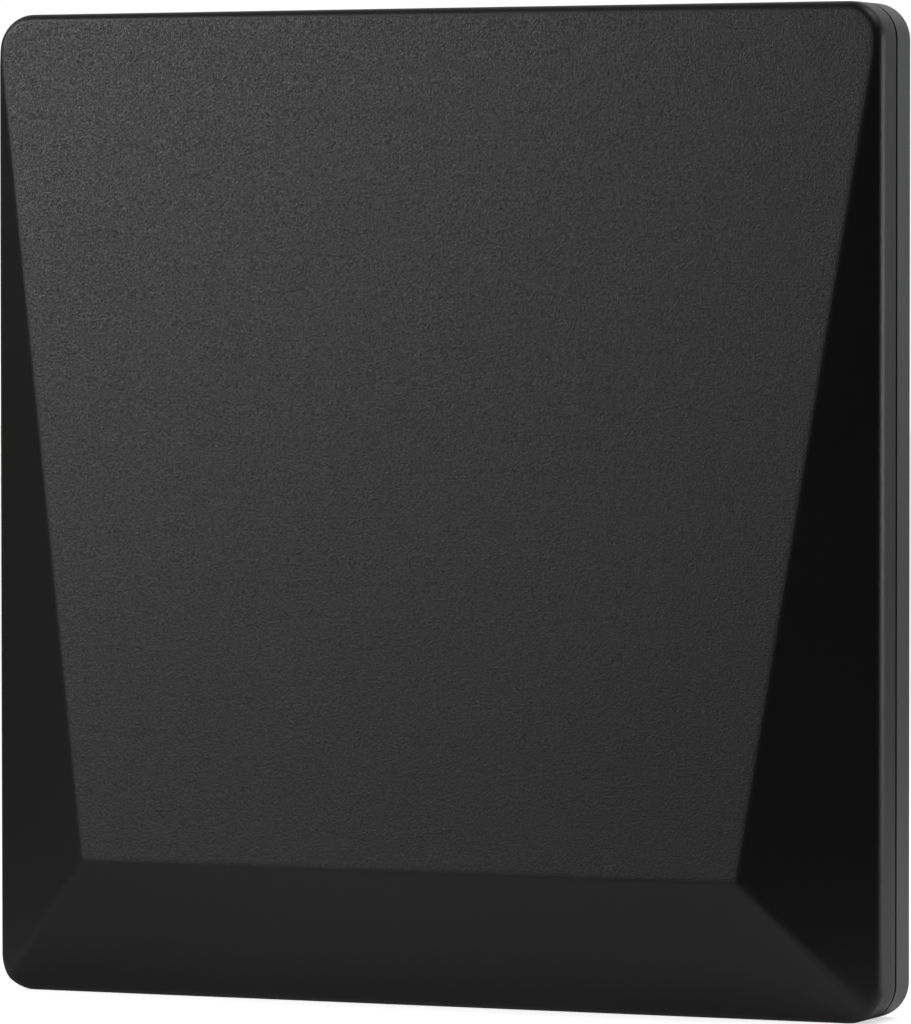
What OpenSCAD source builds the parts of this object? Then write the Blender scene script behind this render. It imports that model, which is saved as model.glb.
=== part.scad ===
// Flat panel indoor TV antenna with a built-in amplifier.
// X runs to the viewer's right, Y runs from the front to the back, Z is up.
// The origin is the middle of the outer box, on the surface that the antenna stands on.

/* [Case] */
// Width of both covers
case_w = 212; // [200:1:240]
// Height of both covers
case_h = 220; // [214:1:250]
// Corner radius of the outline
corner_r = 8; // [6:0.5:12]
// Depth of the front cover's side wall, from the rim to the shadow gap
front_rim = 8.6; // [8:0.1:12]
// Depth of the rear cover's side wall
rear_rim = 8.9; // [8.5:0.1:14]
// Wall thickness of both covers
wall = 2.0; // [1.8:0.1:2.6]

/* [Front face] */
// How far the lower ridge of the face stands in front of the rim
ridge_out = 14.5; // [12:0.5:20]
// Height of the lower ridge above the foot of the case
ridge_up = 30.8; // [26:0.2:40]
// Distance from the ridge's ends to the side walls
ridge_in = 27.8; // [22:0.2:40]
// Rounding radius of the rim and of the ridges
edge_r = 2.2; // [1.2:0.1:3]
// Rounding radius of the rear cover's back edge
back_edge_r = 1.2; // [0.6:0.1:2]

/* [Joint between the covers] */
// Width of the shadow gap between the covers
shadow_gap = 0.9; // [0.5:0.1:1.4]
// Depth of the shadow gap, which is also the rear cover's lip
lip_t = 1.0; // [0.8:0.05:1.2]
// How far the front cover's tongue enters the rear cover
tongue_in = 2.5; // [1.5:0.1:3]
// Clearance around the tongue
tongue_gap = 0.1; // [0.05:0.01:0.2]

/* [Ribs] */
// Thickness of the ribs in both covers
rib_t = 1.2; // [0.8:0.1:1.6]
// Height of the ribs in both covers
rib_h = 2.4; // [1:0.1:3]

/* [Fasteners] */
// Inset of the cover screws from the side walls
screw_inset = 12; // [11:0.5:14]
// Shank radius of the cover screws
cover_screw_r = 1.5; // [1.2:0.05:1.7]
// Length of the cover screws
cover_screw_l = 9.5; // [8:0.5:10]
// Shank radius of the screws that hold the radiators and the board
small_screw_r = 1.25; // [1:0.05:1.4]
// Length of the screws that hold the radiators and the board
small_screw_l = 7; // [5:0.5:8]
// Shank radius of the feed screws
feed_screw_r = 1.45; // [1.2:0.05:1.5]

/* [Wall hanging] */
// Distance between the two keyholes
keyhole_pitch = 90; // [80:1:100]
// Height of the keyholes' wide ends above the foot
keyhole_up = 176; // [170:1:180]
// Radius of a keyhole's wide end
keyhole_r = 4.2; // [3.5:0.1:4.6]
// Width of a keyhole's slot
keyhole_slot_w = 4.4; // [3.6:0.1:4.6]
// Rise from the wide end to the end of the slot
keyhole_rise = 10; // [7:0.5:12]

/* [Radiators] */
// Thickness of the radiator sheet
sheet_t = 0.8; // [0.5:0.1:1]
// Height of the radiators' middle line above the foot
feed_up = 112; // [110:0.5:114]
// Half of the radiators' height at the outer edge
wing_half = 80; // [60:1:84]
// Width of the band around each radiator's window
band_w = 14; // [12:0.5:16]

/* [Amplifier] */
// Width of the amplifier board
board_w = 48; // [46:1:52]
// Height of the amplifier board
board_h = 62; // [60:1:66]
// Thickness of the amplifier board
board_t = 1.6; // [1:0.1:1.6]
// Width of the shield over the amplifier
shield_w = 30; // [26:1:30]
// Height of the shield over the amplifier
shield_h = 26; // [22:1:28]
// How far the shield stands off the board
shield_out = 5.6; // [3.5:0.1:6]

/* [Socket] */
// Outer radius of the socket's thread, 3/8 inch across
thread_r = 4.76; // [4.5:0.01:4.8]
// Length of the socket's threaded barrel
barrel_l = 14; // [12:0.5:15]
// Width of the recess around the socket
recess_w = 32; // [28:1:38]
// Depth of the recess from the back of the case
recess_d = 14; // [13.8:0.1:14.5]
// Height of the recess floor above the foot
recess_up = 26; // [22:1:30]
// Height of the recess
recess_h = 38; // [36:1:39]
// Corner radius of the recess
recess_r = 2.5; // [1:0.1:3]
// Width of the cable channel below the recess
channel_w = 11; // [8:0.5:14]

/* [Hidden] */
$fn = 48;

// Finish colours
case_black = [0.13, 0.13, 0.135];
sheet_silver = [0.75, 0.76, 0.78];
board_green = [0.08, 0.32, 0.18];

// Slopes of the grained face, of the foot facet and of the side facets, as run over height
face_k = ridge_out / (case_h - ridge_up);
foot_k = ridge_out / ridge_up;
side_k = ridge_out / ridge_in;
face_a = atan(face_k);
foot_a = atan(foot_k);
side_a = atan(side_k);

// The lower ridge after it is moved inward by an offset: its height, and its reach in front of the rim
function ridge_z(o) = (face_k * case_h - o / cos(face_a) + o / cos(foot_a)) / (face_k + foot_k);
function ridge_reach(o) = foot_k * ridge_z(o) - o / cos(foot_a);

// Depths are counted backwards from the front edge of the rim
case_d = front_rim + shadow_gap + rear_rim;
peak = ridge_reach(edge_r) + edge_r;
rim_y = -(case_d - peak) / 2;
function at(depth) = rim_y + depth;
lip_d = front_rim + shadow_gap;
seam_d = front_rim + shadow_gap / 2;
tongue_root = 1.5;
floor_d = case_d - wall;

// Clearance between a screw and its thread, between parts that slide together, and round a
// shank that passes through; over is how far a cut runs on
thread_gap = 0.05;
slip = 0.05;
hole_gap = 0.2;
over = 1;
far = 2 * (case_w + case_h);

// Cover screws: three up each side
boss_r = 4.4;
cover_head_r = 2.9;
cover_head_h = 2.2;
counterbore_r = cover_head_r + 0.3;
counterbore_l = 5;
web_h = 3.8;
hole_end = 0.5;
cover_seat_d = case_d - counterbore_l;
cover_screw_places = [
    for (side = [-1, 1]) for (z = [screw_inset + 2, case_h / 2, case_h - screw_inset - 2])
        [side * (case_w / 2 - screw_inset), z]];

// Ribs: how far their roots sink into the wall, and their places in shares of the case
rib_root = 0.2;
front_rib_across = 0.2;
front_rib_levels = [0.3, 0.5, 0.7];
rear_rib_across = 0.3;
rear_rib_levels = [0.22, 0.68];

// Pockets behind the keyholes: depth, room beside the keyhole, and wall
pocket_depth = 5;
pocket_room = 1.3;
pocket_wall = 1.3;

// Radiators: a feed tab, a wing that widens outwards, and a window in the wing
sheet_front_d = 3.6;
sheet_back_d = sheet_front_d + sheet_t;
wing_in_x = 30;
wing_out_x = case_w / 2 - screw_inset - boss_r - 2.6;
wing_in_half = 10;
tab_in_x = 13;
tab_half = 5;
tab_corner_r = 1.5;
wing_corner_r = 3;
window_room = 6;
window_slant = 1.3;
post_r = 3.2;
small_head_r = 2.5;
small_head_h = 1.6;
feed_x = 18;
outer_post_x = wing_out_x - band_w / 2;
outer_post_share = 0.62;
outer_post_half = wing_half * outer_post_share;
inner_post_x = wing_in_x + band_w / 2 + 1;
radiator_post_places = [
    for (side = [-1, 1]) for (p = [[inner_post_x, 0], [outer_post_x, -outer_post_half],
        [outer_post_x, outer_post_half]]) [side * p[0], feed_up + p[1]]];

// Amplifier board, on four posts behind it
board_up = 4;
board_low_z = recess_up + recess_h + board_up;
board_back_d = sheet_back_d + board_t;
board_inset = 5;
board_post_places = [
    for (x = [-1, 1]) for (z = [board_inset, board_h - board_inset])
        [x * (board_w / 2 - board_inset), board_low_z + z]];
shield_up = 10;
shield_z = board_low_z + shield_up;
tin_t = 0.4;
lid_h = 2.6;
vent_r = 1;
feed_above = 8;
feed_z = shield_z + shield_h + feed_above;
feed_head_r = 2.6;
feed_head_h = 1.7;
feed_nut_r = 3.1;
feed_nut_t = 2;
feed_screw_end = 2;

// Chips on the board, as width, height and thickness, and their places in shares of the shield
chip_size = [5, 4, 1.5];
leg_size = [1.2, 0.5, 0.5];
leg_out = 3;
leg_pitch = 1.3;
capacitor_size = [2, 1.2, 0.9];
inductor_size = [2.5, 2.5, 2];
capacitor_across = 0.32;
inductor_across = 0.14;
chip_row = 0.3;

// Balun: a ferrite block with two holes, and its windings
core_size = [7, 6, 4];
core_hole_x = 1.7;
core_hole_r = 0.9;
wire_r = 0.3;
wire_out = 1;
wire_short = 2;

// Socket in the recess, with its barrel pointing down
recess_wall = 1.8;
recess_floor_d = case_d - recess_d;
channel_d = lip_d + recess_wall;
channel_room = 0.5;
recess_top_z = recess_up + recess_h;
socket_seat_z = recess_top_z + recess_wall;
body_half = 5;
body_half_w = 6;
flange_half_w = 7;
socket_d = board_back_d + body_half;
washer_t = 0.6;
nut_t = 2.4;
nut_r = 6.35;
tooth_gap = 0.7;
groove_below = 0.3;
bore_r = 3.6;
tip_z = socket_seat_z - barrel_l;
groove_top_z = recess_top_z - washer_t - nut_t - groove_below;
groove_h = 0.8;
groove_depth = 0.4;
contact_r = 0.9;
contact_bore_r = 0.5;
contact_room = 0.6;
tail_r = 0.5;
contact_in = 1;
insulator_in = 0.6;
body_h = 12.2;
body_top_z = socket_seat_z + body_h;
tail_up = 2;
tail_z = body_top_z + tail_up;

// A rectangle with round corners, centred on the middle of X and at a height z
module rounded(w, h, r, z) {
    translate([0, z]) {
        square([w - 2 * r, h], center = true);
        square([w, h - 2 * r], center = true);
        for (x = [-1, 1]) for (side = [-1, 1])
            translate([x * (w / 2 - r), side * (h / 2 - r)]) circle(r);
    }
}

// Outline of the case, moved inward by an inset
module outline(inset) {
    rounded(case_w - 2 * inset, case_h - 2 * inset, corner_r - inset, case_h / 2);
}

// Extrudes a drawing in X and Z between two depths
module slab(d0, d1) {
    translate([0, at(d1), 0]) rotate([90, 0, 0]) linear_extrude(d1 - d0) children();
}

// Places children at x, z with local +Z pointing to the back, from a given depth
module facing_back(p, depth) {
    translate([p[0], at(depth), p[1]]) rotate([-90, 0, 0]) children();
}

// Places children at x, z with local +Z pointing to the front, from a given depth
module facing_front(p, depth) {
    translate([p[0], at(depth), p[1]]) rotate([90, 0, 0]) children();
}

// A box between two corners given as [x, depth, z]
module block(a, b) {
    translate([a[0], at(a[1]), a[2]]) cube([b[0] - a[0], b[1] - a[1], b[2] - a[2]]);
}

// All that lies behind the plane Y = 0, before it is turned into a facet
module behind() {
    translate([-far / 2, 0, -far / 2]) cube(far);
}

// The wedge-shaped front, moved inward by an offset, back to a given depth
module wedge(offset, depth) {
    intersection() {
        slab(-ridge_out - over, depth) outline(offset);
        translate([0, at(offset / cos(face_a)), case_h]) rotate([-face_a, 0, 0]) behind();
        translate([0, at(offset / cos(foot_a)), 0]) rotate([foot_a, 0, 0]) behind();
        for_side(1) behind_side(offset);
        for_side(-1) behind_side(offset);
    }
}

module for_side(side) {
    mirror([side < 0 ? 1 : 0, 0, 0]) children();
}

module behind_side(offset) {
    translate([case_w / 2, at(offset / cos(side_a)), 0]) rotate([0, 0, side_a]) behind();
}

module ball(r) {
    rotate_extrude($fn = 32) intersection() {
        circle(r, $fn = 32);
        translate([0, -r]) square([r, 2 * r]);
    }
}

// How far behind the rim the centre of a ball of radius edge_r lies when it touches the front skin
function ball_depth(x, z) = -min(
    face_k * (case_h - z) - edge_r / cos(face_a),
    foot_k * z - edge_r / cos(foot_a),
    side_k * (case_w / 2 - abs(x)) - edge_r / cos(side_a));

// Outer form of the front cover: balls rolled along the rim and at the ridge's ends, joined
module front_form() {
    arc_r = corner_r - edge_r;
    ridge_end_x = case_w / 2 - (ridge_reach(edge_r) + edge_r / cos(side_a)) / side_k;
    // on the side walls the face takes over from the side facets at this height
    turn_z = case_h - (edge_r / cos(face_a) - edge_r / cos(side_a) + side_k * edge_r) / face_k;
    corner_places = [
        for (x = [-1, 1]) for (z = [-1, 1]) for (turn = [0 : 9 : 90])
            [x * (case_w / 2 - corner_r + arc_r * cos(turn)),
                case_h / 2 + z * (case_h / 2 - corner_r + arc_r * sin(turn))]];
    turn_places = [for (x = [-1, 1]) [x * (case_w / 2 - edge_r), turn_z]];
    ridge_places = [for (x = [-1, 1]) [x * ridge_end_x, ridge_z(edge_r)]];
    intersection() {
        hull() for (p = concat(corner_places, turn_places, ridge_places)) {
            translate([p[0], at(ball_depth(p[0], p[1])), p[1]]) ball(edge_r);
            translate([p[0], at(front_rim + edge_r), p[1]]) ball(edge_r);
        }
        slab(-ridge_out - over, front_rim) outline(-over);
    }
}

// Outer form of the rear cover: four round posts joined, with the back edge rounded
module rear_form() {
    length = case_d - lip_d;
    hull() for (x = [-1, 1]) for (z = [corner_r, case_h - corner_r])
        facing_back([x * (case_w / 2 - corner_r), z], lip_d) rotate_extrude($fn = 40) {
            square([corner_r, length - back_edge_r]);
            square([corner_r - back_edge_r, length]);
            intersection() {
                translate([corner_r - back_edge_r, length - back_edge_r])
                    circle(back_edge_r, $fn = 24);
                square([corner_r, length]);
            }
        }
}

// Pan-head screw: the head stands on Z = 0, the shank goes down
module screw(head_r, head_h, shank_r, length) {
    point = shank_r * 1.5;
    difference() {
        union() {
            cylinder(r = head_r, h = head_h * 0.6);
            translate([0, 0, head_h * 0.6]) cylinder(r1 = head_r, r2 = head_r * 0.7, h = head_h * 0.4);
            translate([0, 0, point - length]) cylinder(r = shank_r, h = length - point);
            translate([0, 0, -length]) cylinder(r1 = shank_r * 0.3, r2 = shank_r, h = point);
        }
        for (turn = [0, 90]) rotate(turn)
            translate([-head_r * 0.55, -head_r * 0.13, head_h * 0.45])
                cube([head_r * 1.1, head_r * 0.26, head_h]);
    }
}

module front_ribs() {
    difference() {
        wedge(wall - rib_root, front_rim);
        wedge(wall + rib_h, front_rim + over);
        slab(0, front_rim + over) outline(-over);
        slab(-ridge_out - 2 * over, front_rim + 2 * over) difference() {
            outline(-over);
            for (x = [-1, 1])
                translate([x * case_w * front_rib_across - rib_t / 2, 0]) square([rib_t, case_h]);
            for (z = front_rib_levels)
                translate([-case_w / 2, case_h * z - rib_t / 2]) square([case_w, rib_t]);
        }
    }
}

module front_cover() color(case_black) {
    difference() {
        union() {
            difference() {
                front_form();
                wedge(wall, front_rim + over);
            }
            front_ribs();
            slab(front_rim - tongue_root, lip_d + tongue_in) difference() {
                outline(lip_t + tongue_gap);
                outline(wall);
            }
            intersection() {
                wedge(wall / 2, seam_d);
                for (p = cover_screw_places) facing_front(p, seam_d) cylinder(r = boss_r, h = far / 4);
            }
        }
        // the tongue stops either side of the cable channel
        block([-channel_w / 2 - recess_wall - channel_room, front_rim, -over],
            [channel_w / 2 + recess_wall + channel_room, case_d, wall + over]);
        for (p = cover_screw_places)
            facing_back(p, cover_seat_d - cover_screw_l - hole_end)
                cylinder(r = cover_screw_r + thread_gap, h = case_d);
    }
}

module rear_ribs() {
    for (z = rear_rib_levels)
        block([-case_w / 2 + over, floor_d - rib_h, case_h * z - rib_t / 2],
            [case_w / 2 - over, floor_d + over, case_h * z + rib_t / 2]);
    for (x = [-1, 1])
        block([x * case_w * rear_rib_across - rib_t / 2, floor_d - rib_h, over],
            [x * case_w * rear_rib_across + rib_t / 2, floor_d + over, case_h - over]);
}

// A web from each cover-screw boss to the side wall
module boss_webs() {
    for (p = cover_screw_places) {
        wall_x = sign(p[0]) * (case_w / 2 - over);
        block([min(p[0], wall_x), floor_d - web_h, p[1] - rib_t / 2],
            [max(p[0], wall_x), floor_d + over, p[1] + rib_t / 2]);
    }
}

// The closed pocket behind each keyhole, grown by its wall or cut as it is
module keyhole_pocket(grow) {
    half = keyhole_r + pocket_room + grow;
    for (side = [-1, 1])
        block([side * keyhole_pitch / 2 - half, floor_d - pocket_depth - grow, keyhole_up - half],
            [side * keyhole_pitch / 2 + half, floor_d, keyhole_up + keyhole_rise + half]);
}

module keyhole_cut() {
    for (side = [-1, 1]) {
        facing_back([side * keyhole_pitch / 2, keyhole_up], floor_d - over)
            cylinder(r = keyhole_r, h = wall + 2 * over);
        facing_back([side * keyhole_pitch / 2, keyhole_up + keyhole_rise], floor_d - over)
            cylinder(r = keyhole_slot_w / 2, h = wall + 2 * over);
        block([side * keyhole_pitch / 2 - keyhole_slot_w / 2, floor_d - over, keyhole_up],
            [side * keyhole_pitch / 2 + keyhole_slot_w / 2, case_d + over, keyhole_up + keyhole_rise]);
    }
}

// The socket recess and the cable channel below it, grown by a wall or cut as they are
module recess(grow) {
    back_d = (grow > 0 ? floor_d : case_d) + over;
    slab(recess_floor_d - grow, back_d)
        rounded(recess_w + 2 * grow, recess_h + 2 * grow, recess_r + grow, recess_up + recess_h / 2);
    block([-channel_w / 2 - grow, channel_d - grow, grow > 0 ? 0 : -over],
        [channel_w / 2 + grow, back_d, recess_up + over]);
}

module rear_cover() color(case_black) {
    difference() {
        union() {
            difference() {
                rear_form();
                slab(lip_d - over, floor_d) outline(wall);
                slab(lip_d - over, lip_d + tongue_in + 2 * tongue_gap) outline(lip_t);
            }
            rear_ribs();
            boss_webs();
            recess(recess_wall);
            keyhole_pocket(pocket_wall);
            for (p = cover_screw_places)
                facing_back(p, seam_d) cylinder(r = boss_r, h = floor_d - seam_d + over);
            for (p = radiator_post_places)
                facing_back(p, sheet_back_d) cylinder(r = post_r, h = floor_d - sheet_back_d + over);
            for (p = board_post_places)
                facing_back(p, board_back_d) cylinder(r = post_r, h = floor_d - board_back_d + over);
        }
        recess(0);
        keyhole_pocket(0);
        keyhole_cut();
        translate([0, at(socket_d), recess_top_z - over])
            cylinder(r = thread_r + hole_gap, h = recess_wall + 2 * over);
        for (p = cover_screw_places) {
            facing_back(p, seam_d - over) cylinder(r = cover_screw_r + hole_gap, h = case_d);
            facing_back(p, cover_seat_d) cylinder(r = counterbore_r, h = case_d);
        }
        for (p = radiator_post_places)
            facing_back(p, sheet_back_d - over)
                cylinder(r = small_screw_r + thread_gap, h = small_screw_l + over);
        for (p = board_post_places)
            facing_back(p, board_back_d - over)
                cylinder(r = small_screw_r + thread_gap, h = small_screw_l + over);
    }
}

module cover_screws() color("dimgray") {
    for (p = cover_screw_places)
        facing_back(p, cover_seat_d) screw(cover_head_r, cover_head_h, cover_screw_r, cover_screw_l);
}

function wing_edge(x) =
    wing_in_half + (wing_half - wing_in_half) * (x - wing_in_x) / (wing_out_x - wing_in_x);

// Four round corners joined, from one x to another, with a half height at each
module wing_shape(x0, half0, x1, half1, r) {
    hull() for (z = [-1, 1]) {
        translate([x0 + r, z * (half0 - r)]) circle(r, $fn = 24);
        translate([x1 - r, z * (half1 - r)]) circle(r, $fn = 24);
    }
}

// Tab from the feed point on the board to the wing, drawn about the radiators' middle line
module feed_tab() {
    inner_end = [tab_in_x + tab_corner_r, feed_z - feed_up];
    outer_end = [wing_in_x + 2 * wing_corner_r - tab_corner_r, 0];
    hull() for (end = [inner_end, outer_end]) for (z = [-1, 1])
        translate([end[0], end[1] + z * (tab_half - tab_corner_r)]) circle(tab_corner_r, $fn = 24);
}

module radiator(side) {
    window_in_x = wing_in_x + band_w + window_room;
    window_out_x = wing_out_x - band_w;
    for_side(side) difference() {
        slab(sheet_front_d, sheet_back_d) translate([0, feed_up]) difference() {
            union() {
                wing_shape(wing_in_x, wing_in_half, wing_out_x, wing_half, wing_corner_r);
                feed_tab();
            }
            wing_shape(window_in_x, wing_edge(window_in_x) - band_w * window_slant,
                window_out_x, wing_edge(window_out_x) - band_w * window_slant, wing_corner_r);
        }
        facing_back([feed_x, feed_z], sheet_front_d - over)
            cylinder(r = feed_screw_r + hole_gap, h = 2 * over + sheet_t);
        for (p = radiator_post_places) if (p[0] > 0)
            facing_back(p, sheet_front_d - over)
                cylinder(r = small_screw_r + hole_gap, h = 2 * over + sheet_t);
    }
}

module left_radiator() color(sheet_silver) radiator(-1);
module right_radiator() color(sheet_silver) radiator(1);

module radiator_screws() color("lightgray") {
    for (p = radiator_post_places)
        facing_front(p, sheet_front_d) screw(small_head_r, small_head_h, small_screw_r, small_screw_l);
}

module feed_screws() color("lightgray") {
    for (side = [-1, 1])
        facing_front([side * feed_x, feed_z], sheet_front_d)
            screw(feed_head_r, feed_head_h, feed_screw_r, sheet_t + board_t + feed_nut_t + feed_screw_end);
}

module feed_nuts() color("lightgray") {
    for (side = [-1, 1])
        facing_back([side * feed_x, feed_z], board_back_d) difference() {
            cylinder(r = feed_nut_r, h = feed_nut_t, $fn = 6);
            translate([0, 0, -over]) cylinder(r = feed_screw_r + thread_gap, h = 4 * over);
        }
}

module amplifier_board() color(board_green) {
    difference() {
        block([-board_w / 2, sheet_back_d, board_low_z],
            [board_w / 2, board_back_d, board_low_z + board_h]);
        for (p = board_post_places)
            facing_back(p, sheet_back_d - over)
                cylinder(r = small_screw_r + hole_gap, h = board_t + 2 * over);
        for (side = [-1, 1])
            facing_back([side * feed_x, feed_z], sheet_back_d - over)
                cylinder(r = feed_screw_r + hole_gap, h = board_t + 2 * over);
        facing_back([0, tail_z], sheet_back_d - over)
            cylinder(r = tail_r + hole_gap, h = board_t + 2 * over);
    }
}

module board_screws() color("lightgray") {
    for (p = board_post_places)
        facing_front(p, sheet_back_d) screw(small_head_r, small_head_h, small_screw_r, small_screw_l);
}

module shield_frame() color("silver") {
    difference() {
        block([-shield_w / 2, sheet_back_d - shield_out, shield_z],
            [shield_w / 2, sheet_back_d, shield_z + shield_h]);
        block([tin_t - shield_w / 2, -far / 4, shield_z + tin_t],
            [shield_w / 2 - tin_t, sheet_back_d + over, shield_z + shield_h - tin_t]);
    }
}

// A tray snapped over the frame, with vent holes
module shield_lid() color("silver") {
    top_d = sheet_back_d - shield_out;
    grow = slip + tin_t;
    difference() {
        block([-shield_w / 2 - grow, top_d - tin_t, shield_z - grow],
            [shield_w / 2 + grow, top_d + lid_h, shield_z + shield_h + grow]);
        block([-shield_w / 2 - slip, top_d, shield_z - slip],
            [shield_w / 2 + slip, top_d + lid_h + over, shield_z + shield_h + slip]);
        for (x = [-1, 0, 1]) for (z = [-1, 0, 1])
            facing_front([x * shield_w / 4, shield_z + shield_h / 2 + z * shield_h / 4], top_d + over)
                cylinder(r = vent_r, h = 3 * over);
    }
}

// A small part soldered to the front of the board, centred on x, z
module chip(x, z, size) {
    block([x - size[0] / 2, sheet_back_d - size[2], z - size[1] / 2],
        [x + size[0] / 2, sheet_back_d, z + size[1] / 2]);
}

module amplifier_chip() color([0.1, 0.1, 0.1]) {
    middle_z = shield_z + shield_h / 2;
    chip(0, middle_z, chip_size);
    for (x = [-1, 1]) for (z = [-1, 0, 1]) chip(x * leg_out, middle_z + z * leg_pitch, leg_size);
}

module chip_capacitors() color("tan") {
    for (x = [-1, 1]) for (z = [-1, 0, 1])
        chip(x * shield_w * capacitor_across, shield_z + shield_h / 2 + z * shield_h * chip_row,
            capacitor_size);
}

module chip_inductors() color([0.2, 0.2, 0.22]) {
    for (x = [-1, 1]) for (z = [-1, 1])
        chip(x * shield_w * inductor_across, shield_z + shield_h / 2 + z * shield_h * chip_row,
            inductor_size);
}

// Ferrite block between the feed points
module balun_core() color([0.25, 0.24, 0.23]) {
    difference() {
        chip(0, feed_z, core_size);
        for (x = [-1, 1])
            translate([x * core_hole_x, at(sheet_back_d - core_size[2] / 2), feed_z - core_size[1]])
                cylinder(r = core_hole_r, h = 2 * core_size[1]);
    }
}

// A straight round bar between two points, run on by its radius at both ends
module rod(p, q, r) {
    v = q - p;
    length = norm(v);
    translate(p) rotate([0, acos(v[2] / length), atan2(v[1], v[0])])
        translate([0, 0, -r]) cylinder(r = r, h = length + 2 * r, $fn = 24);
}

module balun_windings() color([0.72, 0.4, 0.2]) {
    hole_y = at(sheet_back_d - core_size[2] / 2);
    pad_y = at(sheet_back_d) - wire_r;
    low_z = feed_z - core_size[1] / 2 - wire_out;
    high_z = feed_z + core_size[1] / 2 + wire_out;
    rod([-core_hole_x, hole_y, high_z], [core_hole_x, hole_y, high_z], wire_r);
    for (x = [-1, 1]) {
        rod([x * core_hole_x, hole_y, low_z], [x * core_hole_x, hole_y, high_z], wire_r);
        rod([x * core_hole_x, hole_y, low_z], [x * core_hole_x, pad_y, low_z], wire_r);
        rod([x * core_hole_x, pad_y, low_z], [x * (tab_in_x - wire_short), pad_y, low_z], wire_r);
    }
}

module socket_body() color([0.78, 0.76, 0.7]) {
    difference() {
        union() {
            block([-body_half_w, socket_d - body_half, board_low_z],
                [body_half_w, socket_d + body_half, body_top_z]);
            block([-flange_half_w, socket_d - body_half, socket_seat_z],
                [flange_half_w, socket_d + body_half, board_low_z]);
            translate([0, at(socket_d), 0]) difference() {
                translate([0, 0, tip_z]) cylinder(r = thread_r, h = barrel_l);
                translate([0, 0, groove_top_z - groove_h]) difference() {
                    cylinder(r = thread_r + over, h = groove_h);
                    cylinder(r = thread_r - groove_depth, h = groove_h);
                }
            }
        }
        translate([0, at(socket_d), tip_z - over]) cylinder(r = bore_r, h = barrel_l + over);
        translate([0, at(socket_d), tip_z]) cylinder(r = contact_r + contact_room, h = far / 4);
    }
}

module socket_insulator() color("ivory") {
    translate([0, at(socket_d), tip_z + insulator_in]) difference() {
        cylinder(r = bore_r - slip, h = barrel_l - insulator_in);
        translate([0, 0, -over]) cylinder(r = contact_r + slip, h = far / 4);
    }
}

// The spring contact, and its tail that turns to the board
module socket_contact() color("gold") {
    translate([0, at(socket_d), tip_z + contact_in]) difference() {
        cylinder(r = contact_r, h = barrel_l);
        translate([0, 0, -over]) cylinder(r = contact_bore_r, h = barrel_l / 2);
    }
    translate([0, at(socket_d), tip_z + barrel_l])
        cylinder(r = tail_r, h = tail_z - tip_z - barrel_l + tail_r - slip);
    facing_front([0, tail_z], socket_d + tail_r)
        cylinder(r = tail_r, h = socket_d + tail_r - sheet_back_d + contact_in);
}

module socket_washer() color("silver") {
    translate([0, at(socket_d), recess_top_z - washer_t]) difference() {
        cylinder(r = nut_r, h = washer_t);
        translate([0, 0, -over]) cylinder(r = thread_r + hole_gap, h = 4 * over);
        for (turn = [0 : 30 : 359]) rotate(turn)
            translate([nut_r - tooth_gap, -tooth_gap / 2, -over]) cube([2 * over, tooth_gap, 4 * over]);
    }
}

module socket_nut() color([0.78, 0.76, 0.7]) {
    translate([0, at(socket_d), recess_top_z - washer_t - nut_t]) difference() {
        cylinder(r = nut_r, h = nut_t, $fn = 6);
        translate([0, 0, -over]) cylinder(r = thread_r + thread_gap, h = 4 * over);
    }
}

front_cover();
rear_cover();
cover_screws();
left_radiator();
right_radiator();
radiator_screws();
feed_screws();
feed_nuts();
amplifier_board();
board_screws();
shield_frame();
shield_lid();
amplifier_chip();
chip_capacitors();
chip_inductors();
balun_core();
balun_windings();
socket_body();
socket_insulator();
socket_contact();
socket_washer();
socket_nut();
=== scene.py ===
"""Looks of the flat panel indoor TV antenna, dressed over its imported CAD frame.

X runs to the viewer's right, Y from the front to the back and Z up, in metres, as in the CAD model.
The CAD nodes stay where they are and get smooth shading and their finishes here. Modelled here are
the socket's thread, the studio and the camera.
"""

import math

import bmesh
import bpy
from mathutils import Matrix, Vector


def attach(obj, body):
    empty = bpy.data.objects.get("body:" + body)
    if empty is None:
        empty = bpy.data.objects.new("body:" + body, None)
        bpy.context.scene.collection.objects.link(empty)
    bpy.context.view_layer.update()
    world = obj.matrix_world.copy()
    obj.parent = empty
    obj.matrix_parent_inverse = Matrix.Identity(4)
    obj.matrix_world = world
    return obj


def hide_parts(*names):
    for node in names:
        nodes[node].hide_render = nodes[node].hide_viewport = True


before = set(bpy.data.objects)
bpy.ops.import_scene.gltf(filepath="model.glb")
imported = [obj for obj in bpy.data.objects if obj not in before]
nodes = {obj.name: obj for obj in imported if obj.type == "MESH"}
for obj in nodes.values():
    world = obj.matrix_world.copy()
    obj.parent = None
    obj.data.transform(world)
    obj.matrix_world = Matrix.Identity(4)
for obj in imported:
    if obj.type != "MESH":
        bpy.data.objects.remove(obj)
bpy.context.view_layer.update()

MM = 0.001

# The case, as in the CAD model
CASE_H = 220 * MM
RIDGE_OUT = 14.5 * MM
RIDGE_UP = 30.8 * MM
EDGE_R = 2.2 * MM

# Edges that turn by less than this are smooth, and points closer than this are one
SHARP_ANGLE = math.radians(25)
JOIN = 0.002 * MM

# The socket's 3/8-32 thread, on its barrel below the nut: its size, its place and reach, the cuts in
# a turn, and how far a point may lie from the barrel's radius
THREAD_PITCH = 25.4 / 32 * MM
THREAD_DEPTH = 0.4 * MM
THREAD_R = 4.76 * MM
THREAD_Y = 9.031 * MM
THREAD_FOOT = 51.8 * MM
THREAD_TOP = 59.9 * MM
THREAD_CUTS = 8
THREAD_SLACK = 0.05 * MM

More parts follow.
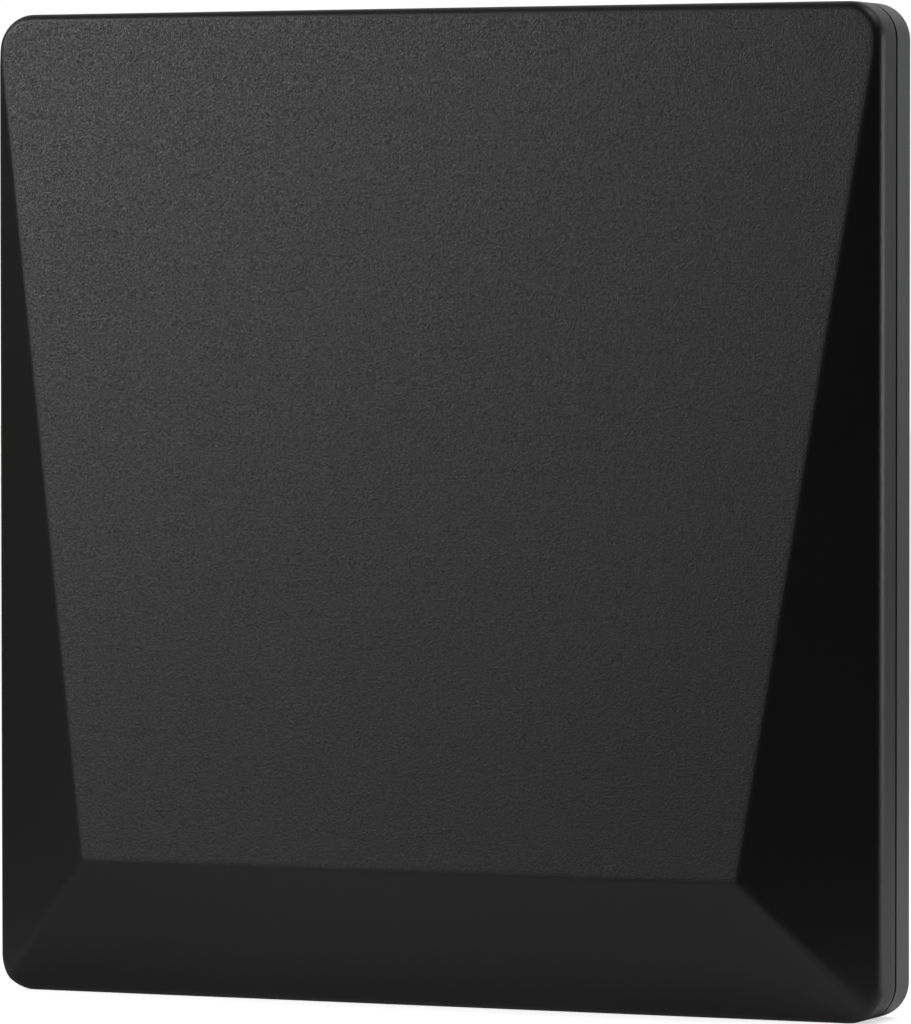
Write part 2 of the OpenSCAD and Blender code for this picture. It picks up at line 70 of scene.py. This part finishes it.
# The grain of the face: noise per metre, bump depth, and how far a surface may turn from the face
# before its grain starts to fade and where it has faded
GRAIN = 2000
GRAIN_DEPTH = 0.06 * MM
FACE_FULL = math.cos(math.radians(2))
FACE_FADED = math.cos(math.radians(12))
CLOUDS = 25
CLOUD_SHARE = 0.06

# Metals and plain finishes: the part of the noise that shows, and the depth of their bump
MOTTLE = (0.35, 0.65)
MOTTLE_DEPTH = 0.02 * MM
METAL_BUMP = 0.12

# What the surfaces mirror of the world, by the direction of the ray: darkest, brightest, and the
# directions where each is reached
WHITE = 1.0
BACK_WALL = (0.01, 0.34, -0.22, 0.86)
UPWARDS = (1.0, 2.4, 0.05, 0.6)
LEFT_WALL = (0.07, 0.0, -1.0, -0.6)

# The floor's half width, its shades for the camera, and a pool of light painted into its colour for
# all other rays, which the object mirrors: bright round the foot, dim further out, each with the reach
# where it starts
FLOOR_HALF = 6.0
FLOOR_SHADE = 0.95
FLOOR_GLOW = 0.6
PAINTED_POOL = (0.89, 0.12, 0.15, 0.40)
BRIGHT_X = 0.135
FRONT_X = 0.10
FRONT_SKEW = 2.25
FRONT_FADE = 5.0
BACK_FADE = 0.45


# ---------------------------------------------------------------- materials


def add(tree, kind, settings=None, **inputs):
    """Makes a node, sets its settings, and links or sets the inputs given by name or by _number."""
    node = tree.nodes.new(kind)
    for key, value in (settings or {}).items():
        setattr(node, key, value)
    for key, value in inputs.items():
        socket = node.inputs[int(key[1:])] if key[0] == "_" else node.inputs[key.replace("_", " ")]
        if isinstance(value, bpy.types.NodeSocket):
            tree.links.new(value, socket)
        else:
            socket.default_value = value
    return node


def material(name):
    """A new material with a Principled shader. Returns the material, its tree and the shader."""
    made = bpy.data.materials.new(name)
    made.use_nodes = True
    tree = made.node_tree
    tree.nodes.clear()
    shader = add(tree, "ShaderNodeBsdfPrincipled")
    add(tree, "ShaderNodeOutputMaterial", Surface=shader.outputs["BSDF"])
    return made, tree, shader


def link(tree, source, shader, name):
    tree.links.new(source, shader.inputs[name])


def place(tree):
    """The surface's place in the row frame, in metres."""
    return add(tree, "ShaderNodeTexCoord").outputs["Object"]


def noise(tree, scale, detail=2.0, roughness=0.5, vector=None):
    return add(tree, "ShaderNodeTexNoise", Vector=vector or place(tree), Scale=scale, Detail=detail,
               Roughness=roughness).outputs["Fac"]


def spread(tree, value, low, high, from_low=0.0, from_high=1.0, smooth=False):
    """Maps a value from one range to another."""
    kind = {"interpolation_type": "SMOOTHSTEP"} if smooth else {}
    return add(tree, "ShaderNodeMapRange", kind, _0=value, _1=from_low, _2=from_high, _3=low,
               _4=high).outputs[0]


def maths(tree, operation, a, b=0.0):
    return add(tree, "ShaderNodeMath", {"operation": operation}, _0=a, _1=b).outputs[0]


def multiply(tree, a, b):
    return maths(tree, "MULTIPLY", a, b)


def blend(tree, factor, a, b):
    """A colour between a and b."""
    return add(tree, "ShaderNodeMix", {"data_type": "RGBA"}, _0=factor, _6=a, _7=b).outputs[2]


def grey(level):
    return (level, level, level, 1.0)


def tone(r, g, b):
    return (r, g, b, 1.0)


def case_plastic(name, level, face_rough, rough, gloss, grain_bump, facet_share, ridge_r=0.0):
    """Black moulded plastic. The flat face is spark-eroded, with a fine grain; the facets, the rims
    and the walls have facet_share of that grain and are smoother."""
    made, tree, shader = material(name)
    shader.inputs["Specular IOR Level"].default_value = gloss
    run = math.hypot(RIDGE_OUT, CASE_H - RIDGE_UP)
    face_normal = (0.0, -(CASE_H - RIDGE_UP) / run, RIDGE_OUT / run)
    normal = add(tree, "ShaderNodeTexCoord").outputs["Normal"]
    facing = add(tree, "ShaderNodeVectorMath", {"operation": "DOT_PRODUCT"}, _0=normal, _1=face_normal)
    on_face = spread(tree, facing.outputs["Value"], 0.0, 1.0, FACE_FADED, FACE_FULL, smooth=True)
    grain = noise(tree, GRAIN, 3.0, 0.7)
    share = spread(tree, on_face, facet_share, 1.0)
    pits = multiply(tree, spread(tree, grain, -1.0, 1.0, 0.25, 0.75), share)
    cloud = spread(tree, noise(tree, CLOUDS, 2.0), level * (1 - CLOUD_SHARE), level * (1 + CLOUD_SHARE),
                   0.3, 0.7)
    shade = multiply(tree, cloud, spread(tree, pits, 0.1, 1.9, -1.0, 1.0))
    colour = add(tree, "ShaderNodeCombineColor", _0=shade, _1=shade, _2=shade).outputs[0]
    link(tree, colour, shader, "Base Color")
    soft = spread(tree, on_face, rough, face_rough)
    link(tree, multiply(tree, soft, spread(tree, pits, 1.5, 0.5, -1.0, 1.0)), shader, "Roughness")
    depth = spread(tree, on_face, facet_share * grain_bump, grain_bump)
    bump = add(tree, "ShaderNodeBump", Strength=depth, Distance=GRAIN_DEPTH, Height=grain)
    if ridge_r:
        soft_ridge = add(tree, "ShaderNodeBevel", {"samples": 4}, Radius=ridge_r).outputs[0]
        link(tree, soft_ridge, bump, "Normal")
    link(tree, bump.outputs["Normal"], shader, "Normal")
    return made


def metal(name, colour, roughness, fleck=400, wear=0.12):
    """Plated or rolled metal with faint mottling in its colour and gloss."""
    made, tree, shader = material(name)
    mottle = noise(tree, fleck, 3.0)
    worn = tuple(c * (1 - wear) for c in colour[:3]) + (1.0,)
    link(tree, blend(tree, spread(tree, mottle, 0.0, 1.0, *MOTTLE), worn, colour), shader, "Base Color")
    link(tree, spread(tree, mottle, roughness * 0.8, roughness * 1.25, *MOTTLE), shader, "Roughness")
    shader.inputs["Metallic"].default_value = 1.0
    bump = add(tree, "ShaderNodeBump", Strength=METAL_BUMP, Distance=MOTTLE_DEPTH, Height=mottle)
    link(tree, bump.outputs["Normal"], shader, "Normal")
    return made


def matt(name, colour, roughness, fleck=900, change=0.15, bump=0.1):
    """Paint, ceramic, laminate or moulded plastic without a grain of its own."""
    made, tree, shader = material(name)
    mottle = noise(tree, fleck, 3.0)
    other = tuple(c * (1 - change) for c in colour[:3]) + (1.0,)
    link(tree, blend(tree, spread(tree, mottle, 0.0, 1.0, *MOTTLE), other, colour), shader, "Base Color")
    link(tree, spread(tree, mottle, roughness * 0.9, roughness * 1.1, *MOTTLE), shader, "Roughness")
    relief = add(tree, "ShaderNodeBump", Strength=bump, Distance=MOTTLE_DEPTH, Height=mottle)
    link(tree, relief.outputs["Normal"], shader, "Normal")
    return made


FINISHES = {
    "front_cover": case_plastic("front_case", 0.0062, 0.48, 0.37, 0.32, 1.6, 0.1, EDGE_R),
    "rear_cover": case_plastic("rear_case", 0.0062, 0.36, 0.36, 0.78, 1.0, 0.3),
    "cover_screws": metal("black_screw", tone(0.05, 0.05, 0.055), 0.35),
    "left_radiator": metal("rolled_aluminium", tone(0.78, 0.79, 0.8), 0.38),
    "radiator_screws": metal("zinc_plate", tone(0.62, 0.63, 0.65), 0.32),
    "amplifier_board": matt("solder_mask", tone(0.01, 0.11, 0.045), 0.35, 1500, 0.25),
    "shield_frame": metal("tin_plate", tone(0.6, 0.6, 0.59), 0.42),
    "amplifier_chip": matt("chip_resin", tone(0.02, 0.02, 0.02), 0.55),
    "chip_capacitors": matt("chip_ceramic", tone(0.42, 0.3, 0.18), 0.4),
    "balun_core": matt("ferrite", tone(0.04, 0.038, 0.036), 0.5),
    "balun_windings": metal("enamelled_wire", tone(0.6, 0.2, 0.07), 0.25),
    "socket_body": metal("nickel_plate", tone(0.68, 0.65, 0.6), 0.24),
    "socket_insulator": matt("socket_resin", tone(0.75, 0.73, 0.68), 0.4, 900, 0.05),
    "socket_contact": metal("contact_brass", tone(0.75, 0.55, 0.22), 0.25),
}
SAME_FINISH = {
    "right_radiator": "left_radiator",
    "feed_screws": "radiator_screws",
    "feed_nuts": "radiator_screws",
    "board_screws": "radiator_screws",
    "socket_washer": "radiator_screws",
    "shield_lid": "shield_frame",
    "chip_inductors": "balun_core",
    "socket_nut": "socket_body",
}


# ---------------------------------------------------------------- shading of the CAD nodes


def smoothing_group():
    """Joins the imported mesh's split edges and marks only its real corners as sharp."""
    tree = bpy.data.node_groups.new("smooth_skin", "GeometryNodeTree")
    tree.is_modifier = True
    for direction in ("INPUT", "OUTPUT"):
        tree.interface.new_socket("Geometry", in_out=direction, socket_type="NodeSocketGeometry")
    start = add(tree, "NodeGroupInput")
    merged = add(tree, "GeometryNodeMergeByDistance", Geometry=start.outputs[0], Distance=JOIN)
    plain = add(tree, "GeometryNodeRemoveAttribute", Geometry=merged.outputs[0], Name="custom_normal")
    faces = add(tree, "GeometryNodeSetShadeSmooth", {"domain": "FACE"}, Geometry=plain.outputs[0],
                Shade_Smooth=True)
    angle = add(tree, "GeometryNodeInputMeshEdgeAngle").outputs["Unsigned Angle"]
    soft = add(tree, "FunctionNodeCompare", {"data_type": "FLOAT", "operation": "LESS_THAN"}, _0=angle,
               _1=SHARP_ANGLE).outputs[0]
    edges = add(tree, "GeometryNodeSetShadeSmooth", {"domain": "EDGE"}, Geometry=faces.outputs[0],
                Shade_Smooth=soft)
    add(tree, "NodeGroupOutput", Geometry=edges.outputs[0])
    return tree


def dress(thing, finish):
    """Gives an object its finish and its smooth skin."""
    for slot in thing.material_slots:
        slot.material = finish
    thing.modifiers.new("smooth_skin", "NODES").node_group = skin
    weights = thing.modifiers.new("face_weights", "WEIGHTED_NORMAL")
    weights.keep_sharp = True


skin = smoothing_group()
for name, node in nodes.items():
    dress(node, FINISHES[SAME_FINISH.get(name, name)])


# ---------------------------------------------------------------- the socket's thread


def out_of_axis(vert):
    """From the barrel's upright axis to the vertex."""
    return Vector((vert.co.x, vert.co.y - THREAD_Y, 0.0))


def on_barrel(vert):
    return abs(out_of_axis(vert).length - THREAD_R) < THREAD_SLACK


def thread_mesh(plain):
    """The socket's body with the thread cut into its barrel, which keeps its outer radius."""
    mesh = plain.copy()
    mesh.name = "threaded_socket"
    work = bmesh.new()
    work.from_mesh(mesh)
    bmesh.ops.remove_doubles(work, verts=work.verts, dist=JOIN)
    step = THREAD_PITCH / THREAD_CUTS
    for i in range(1, int((THREAD_TOP - THREAD_FOOT) / step) + 1):
        height = THREAD_FOOT + i * step
        crossed = [face for face in work.faces
                   if all(on_barrel(v) for v in face.verts)
                   and min(v.co.z for v in face.verts) < height - JOIN
                   and max(v.co.z for v in face.verts) > height + JOIN]
        parts = set(crossed)
        for face in crossed:
            parts.update(face.edges)
            parts.update(face.verts)
        bmesh.ops.bisect_plane(work, geom=list(parts), plane_co=(0, 0, height), plane_no=(0, 0, 1),
                               dist=JOIN)
    for vert in work.verts:
        if on_barrel(vert) and vert.co.z < THREAD_TOP - JOIN:
            out = out_of_axis(vert)
            turn = vert.co.z / THREAD_PITCH + math.atan2(out.y, out.x) / (2 * math.pi)
            vert.co -= out.normalized() * THREAD_DEPTH * (1 - abs(2 * (turn % 1.0) - 1))
    work.to_mesh(mesh)
    work.free()
    return mesh


def build_thread():
    socket = bpy.data.objects.new("threaded_socket", thread_mesh(nodes["socket_body"].data))
    bpy.context.scene.collection.objects.link(socket)
    dress(socket, FINISHES["socket_body"])
    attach(socket, "root")
    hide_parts("socket_body")


build_thread()


# ---------------------------------------------------------------- studio


def build_world():
    """White to the camera. What the object mirrors is a studio with a pale wall behind it and a dim
    room in front of it and above."""
    world = bpy.data.worlds.new("studio")
    bpy.context.scene.world = world
    world.use_nodes = True
    tree = world.node_tree
    tree.nodes.clear()
    path = add(tree, "ShaderNodeLightPath").outputs["Is Camera Ray"]
    way = add(tree, "ShaderNodeTexCoord").outputs["Generated"]
    side = add(tree, "ShaderNodeSeparateXYZ", Vector=way).outputs
    wall = spread(tree, side["Y"], *BACK_WALL, smooth=True)
    high = spread(tree, side["Z"], *UPWARDS, smooth=True)
    left = spread(tree, side["X"], *LEFT_WALL, smooth=True)
    wall = maths(tree, "ADD", multiply(tree, wall, high), left)
    level = add(tree, "ShaderNodeMix", {"data_type": "FLOAT"}, _0=path, _2=wall, _3=WHITE).outputs[0]
    background = add(tree, "ShaderNodeBackground", Color=grey(1.0), Strength=level)
    add(tree, "ShaderNodeOutputWorld", Surface=background.outputs[0])


def build_floor():
    """A pale floor that keeps the object's shadow, with a pool of light painted into its colour round
    the foot for all rays but the camera's.
    """
    mesh = bpy.data.meshes.new("floor")
    corners = [(x * FLOOR_HALF, y * FLOOR_HALF, 0) for x, y in ((-1, -1), (1, -1), (1, 1), (-1, 1))]
    mesh.from_pydata(corners, [], [(0, 1, 2, 3)])
    floor = bpy.data.objects.new("floor", mesh)
    bpy.context.scene.collection.objects.link(floor)
    made, tree, shader = material("pale_floor")
    seen = add(tree, "ShaderNodeLightPath").outputs["Is Camera Ray"]
    spot = add(tree, "ShaderNodeSeparateXYZ", Vector=place(tree)).outputs
    # Painted pool of light: the floor's colour is brightest near BRIGHT_X by the foot and dims to the
    # front, to the back and to the sides
    aside = maths(tree, "ABSOLUTE", maths(tree, "SUBTRACT", spot["X"], BRIGHT_X))
    skewed = maths(tree, "SUBTRACT", multiply(tree, spot["X"], FRONT_SKEW), FRONT_SKEW * FRONT_X)
    in_front = maths(tree, "SUBTRACT", skewed, multiply(tree, spot["Y"], FRONT_FADE))
    behind = multiply(tree, spot["Y"], BACK_FADE)
    reach = maths(tree, "MAXIMUM", aside, maths(tree, "MAXIMUM", in_front, behind))
    painted_pool = spread(tree, reach, *PAINTED_POOL, smooth=True)
    # The camera sees the floor evenly pale; every other ray sees the painted pool of light
    level = add(tree, "ShaderNodeMix", {"data_type": "FLOAT"}, _0=seen, _2=painted_pool,
                _3=FLOOR_SHADE).outputs[0]
    shade = multiply(tree, level, spread(tree, noise(tree, 3.0), 0.98, 1.0))
    colour = add(tree, "ShaderNodeCombineColor", _0=shade, _1=shade, _2=shade).outputs[0]
    link(tree, colour, shader, "Base Color")
    shader.inputs["Roughness"].default_value = 0.9
    shader.inputs["Specular IOR Level"].default_value = 0.1
    shader.inputs["Emission Color"].default_value = grey(1.0)
    link(tree, multiply(tree, seen, FLOOR_GLOW), shader, "Emission Strength")
    mesh.materials.append(made)


AIM = Vector((0.0, 0.0, 0.11))
# Name, azimuth and elevation as seen from the object (0 is straight in front, positive to the
# viewer's right), distance, width, height, power in watts
LAMPS = [
    ("key", -41, 22.5, 1.10, 0.32, 0.42, 9.5),
    ("rim", 122, 2, 1.25, 0.60, 0.30, 3.75),
    ("side", 80, 60, 1.00, 0.45, 0.45, 3.3),
]


def build_lamps():
    for name, azimuth, elevation, distance, width, height, power in LAMPS:
        data = bpy.data.lights.new(name, "AREA")
        data.shape = "RECTANGLE"
        data.size, data.size_y, data.energy = width, height, power
        lamp = bpy.data.objects.new(name, data)
        a, e = math.radians(azimuth), math.radians(elevation)
        way = Vector((math.sin(a) * math.cos(e), -math.cos(a) * math.cos(e), math.sin(e)))
        lamp.location = AIM + way * distance
        lamp.rotation_euler = way.to_track_quat("Z", "Y").to_euler()
        lamp.visible_camera = False
        bpy.context.scene.collection.objects.link(lamp)


def build_camera():
    """The photograph's view: a long lens in front of the object, a little to its right."""
    data = bpy.data.cameras.new("photo")
    data.lens = 258.62
    data.sensor_width = 36.0
    data.clip_start, data.clip_end = 0.05, 50.0
    camera = bpy.data.objects.new("photo", data)
    camera.location = (0.650826, -1.484100, 0.159113)
    camera.rotation_euler = [math.radians(v) for v in (88.231926, 0.037967, 23.500419)]
    bpy.context.scene.collection.objects.link(camera)
    bpy.context.scene.camera = camera


build_world()
build_floor()
build_lamps()
build_camera()

view = bpy.context.scene.view_settings
view.view_transform = "Standard"
